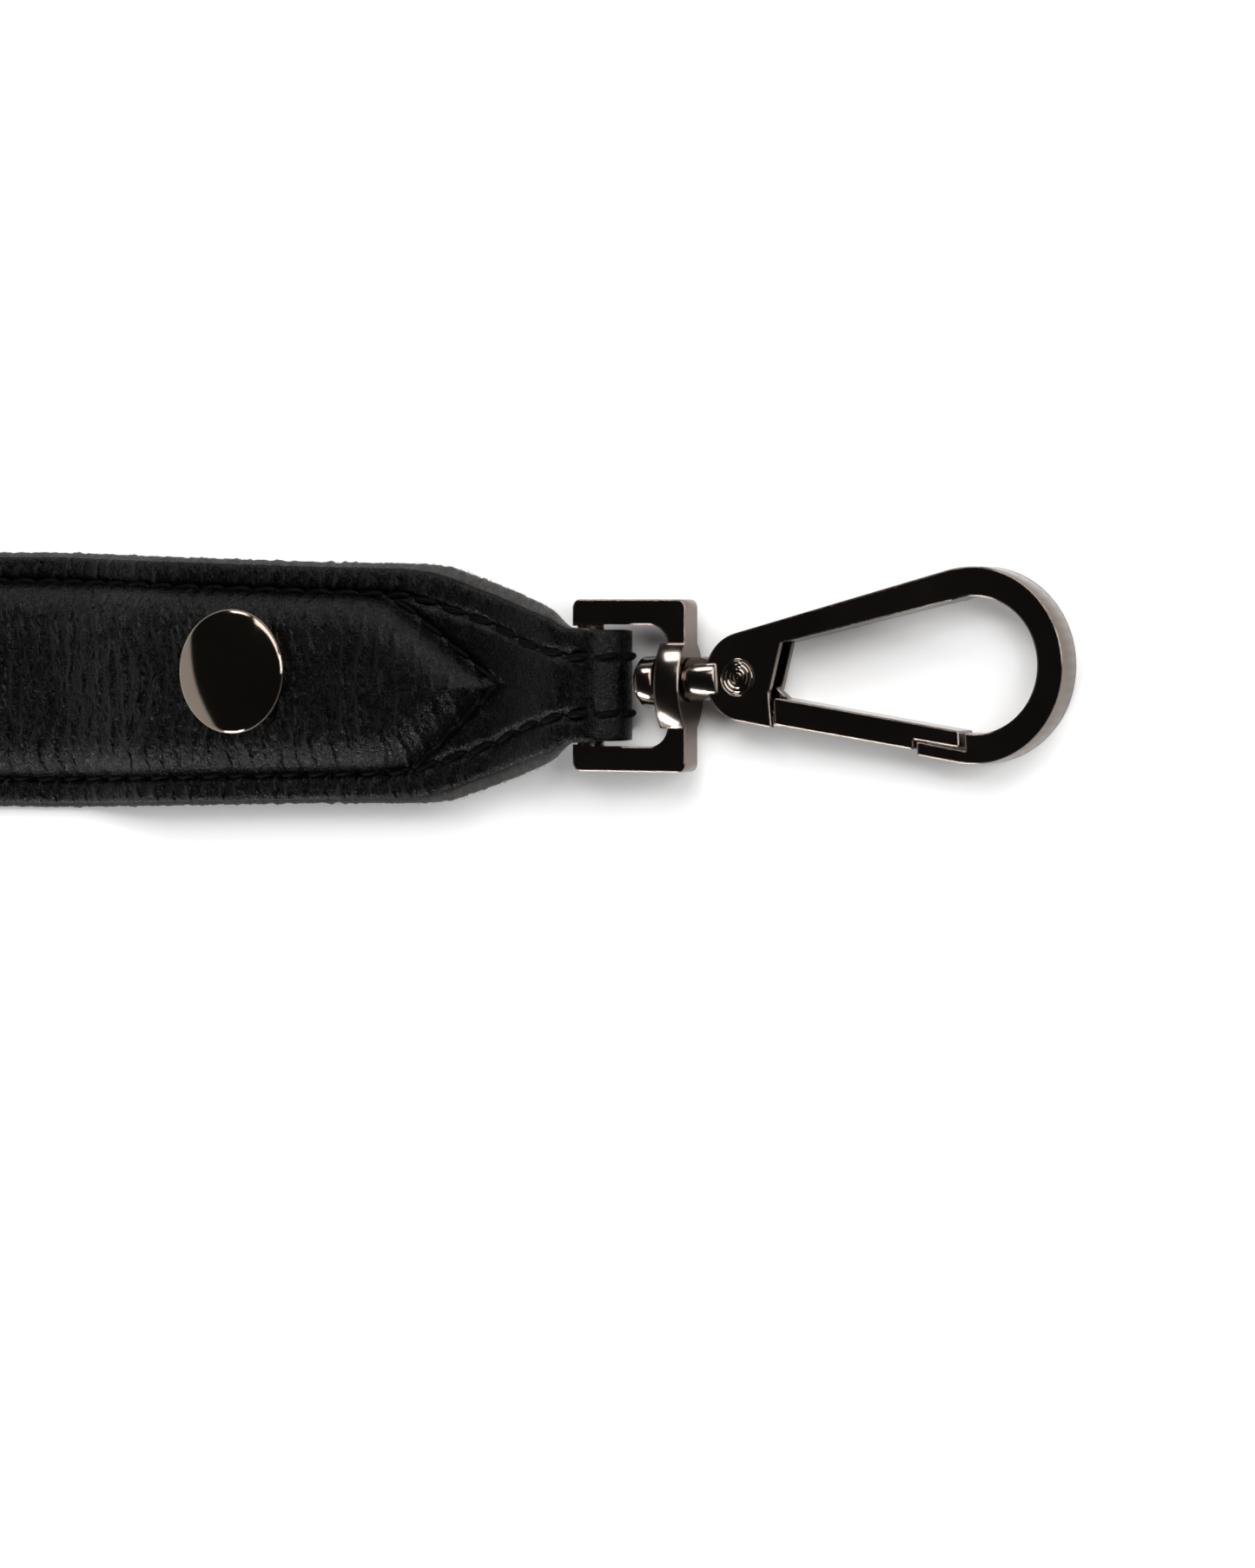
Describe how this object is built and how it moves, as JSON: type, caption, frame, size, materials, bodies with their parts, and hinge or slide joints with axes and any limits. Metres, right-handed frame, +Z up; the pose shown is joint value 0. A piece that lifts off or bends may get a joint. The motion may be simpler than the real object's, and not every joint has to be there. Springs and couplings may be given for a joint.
{
  "type": "padded leather carrying strap with swivel snap hooks",
  "caption": "Padded leather carrying strap with a swivel snap hook in a folded loop at each end.",
  "frame": {"origin": "middle of the strap, on the surface that it lies on", "axes": "+X along the strap towards end a, +Y across it, +Z up through the leather"},
  "size_m": [0.4088, 0.0326, 0.0104],
  "materials": {
    "top_leather": "satin pebble grain",
    "suede": "raw suede edge",
    "foam": "matt foam",
    "thread": "waxed thread",
    "polished_metal": "polished black nickel",
    "plain_metal": "plain",
    "hook_metal": "satin black nickel",
    "spring_wire": "drawn wire"
  },
  "bodies": {
    "strap": {"top_leather": "top_leather", "backing_leather": "suede", "foam_pad": "foam", "edge_stitching_left": "thread", "edge_stitching_right": "thread", "point_stitching_a": "thread", "point_stitching_b": "thread", "stud_cap_a": "polished_metal", "stud_post_a": "plain_metal", "stud_base_a": "plain_metal", "stud_cap_b": "polished_metal", "stud_post_b": "plain_metal", "stud_base_b": "plain_metal"},
    "ring_a": {"swivel_ring_a": "hook_metal"},
    "hook_a": {"swivel_stem_a": "hook_metal", "hook_body_a": "hook_metal", "gate_pin_a": "hook_metal", "gate_spring_a": "spring_wire"},
    "lever_a": {"gate_a": "hook_metal"},
    "ring_b": {"swivel_ring_b": "hook_metal"},
    "hook_b": {"swivel_stem_b": "hook_metal", "hook_body_b": "hook_metal", "gate_pin_b": "hook_metal", "gate_spring_b": "spring_wire"},
    "lever_b": {"gate_b": "hook_metal"}
  },
  "joints": [
    {"name": "ring_swing_a", "type": "hinge", "parent": "strap", "child": "ring_a", "pos_m": [0.1419, 0, 0.0043], "axis": [0, 1, 0], "range_deg": [-95, 95]},
    {"name": "hook_swivel_a", "type": "hinge", "parent": "ring_a", "child": "hook_a", "pos_m": [0.15388, 0.00063, 0.00386], "axis": [0.998, 0.0523, -0.0363], "continuous": true},
    {"name": "gate_open_a", "type": "hinge", "parent": "hook_a", "child": "lever_a", "pos_m": [0.16256, 0.00108, 0.00355], "axis": [0.0363, 0, 0.9993], "range_deg": [0, 25], "stiffness_Nm_per_rad": 0.02, "springref_deg": -34.38, "deforming": ["gate_spring_a"]},
    {"name": "ring_swing_b", "type": "hinge", "parent": "strap", "child": "ring_b", "pos_m": [-0.1419, 0, 0.0043], "axis": [0, -1, 0], "range_deg": [-95, 95]},
    {"name": "hook_swivel_b", "type": "hinge", "parent": "ring_b", "child": "hook_b", "pos_m": [-0.15388, -0.00063, 0.00386], "axis": [-0.998, -0.0523, -0.0363], "continuous": true},
    {"name": "gate_open_b", "type": "hinge", "parent": "hook_b", "child": "lever_b", "pos_m": [-0.16256, -0.00108, 0.00355], "axis": [-0.0363, 0, 0.9993], "range_deg": [0, 25], "stiffness_Nm_per_rad": 0.02, "springref_deg": -34.38, "deforming": ["gate_spring_b"]}
  ]
}
